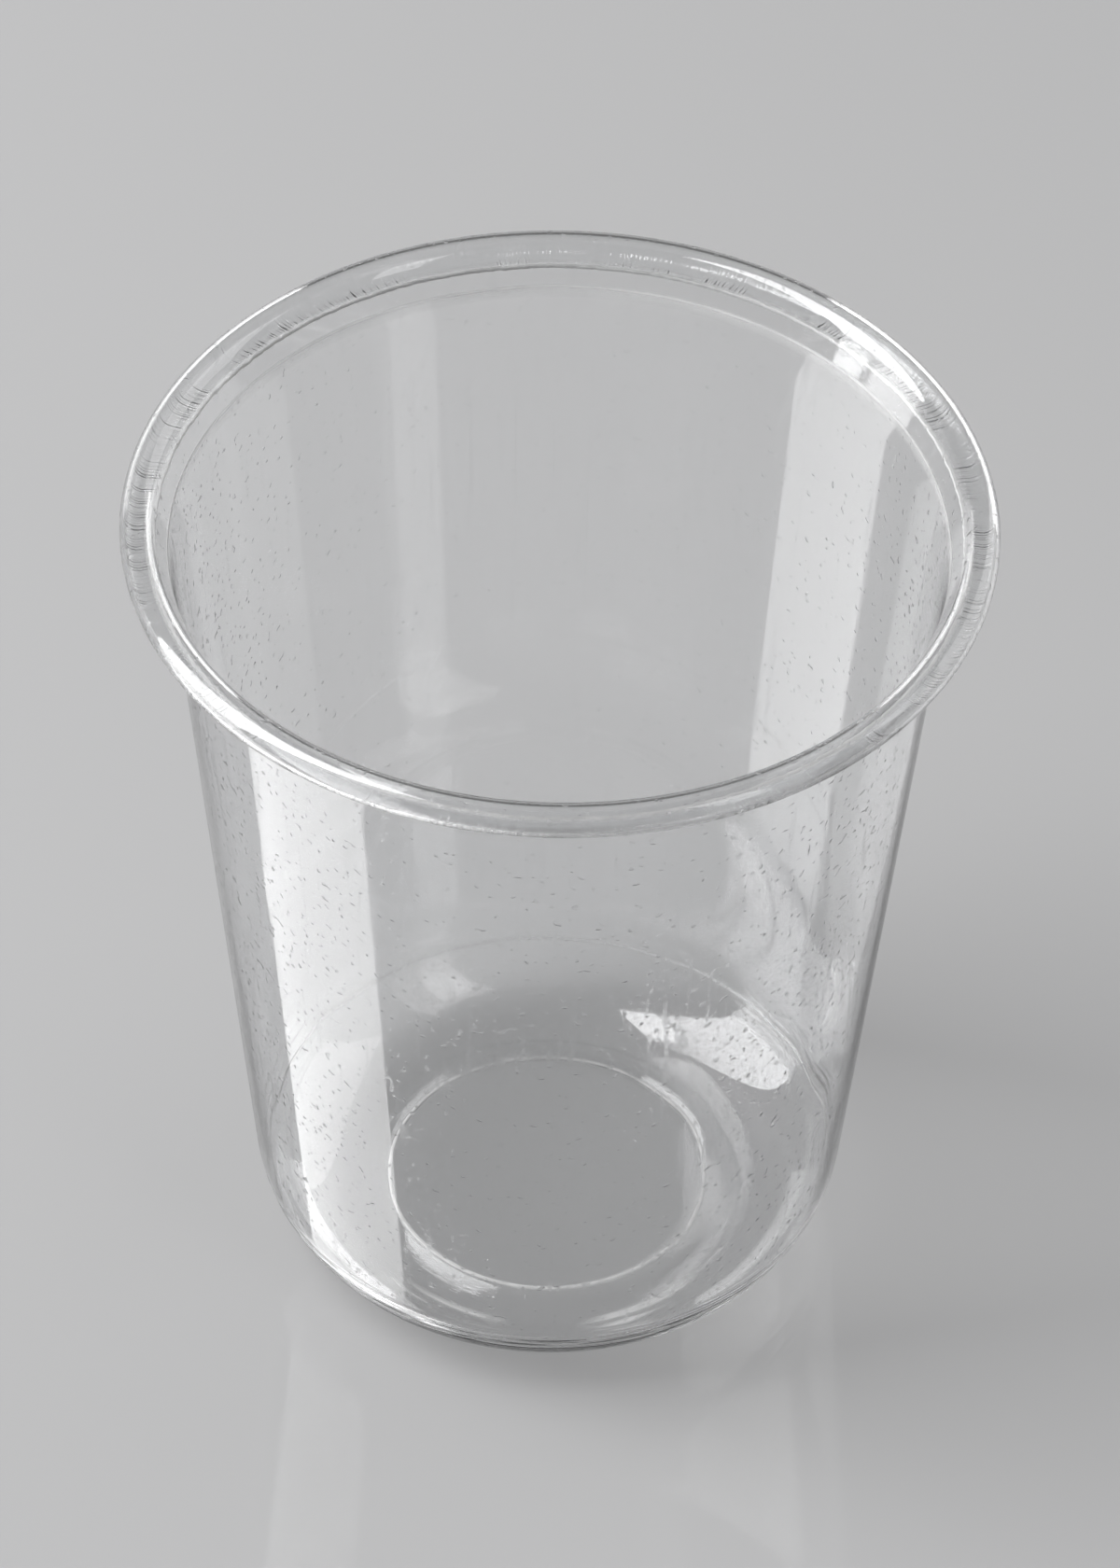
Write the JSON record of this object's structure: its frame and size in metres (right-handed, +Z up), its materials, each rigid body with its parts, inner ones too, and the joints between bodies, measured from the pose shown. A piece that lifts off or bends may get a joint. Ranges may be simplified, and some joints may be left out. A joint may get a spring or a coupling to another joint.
{
  "type": "plastic tumbler cup",
  "caption": "Clear thin-walled plastic tumbler for cold drinks, with a rolled rim, slightly tapered wall, rounded foot and raised base disc.",
  "frame": {"origin": "middle of the base, on the surface that the cup stands on", "axes": "+Z up along the axis of the cup, towards the rolled rim; the cup is a body of revolution, so X and Y are free, with -Y towards the camera of the picture"},
  "size_m": [0.095, 0.095, 0.1059],
  "materials": {
    "clear_plastic": "clear, glossy, lightly scuffed"
  },
  "bodies": {
    "root": {"cup": "clear_plastic"}
  },
  "joints": []
}
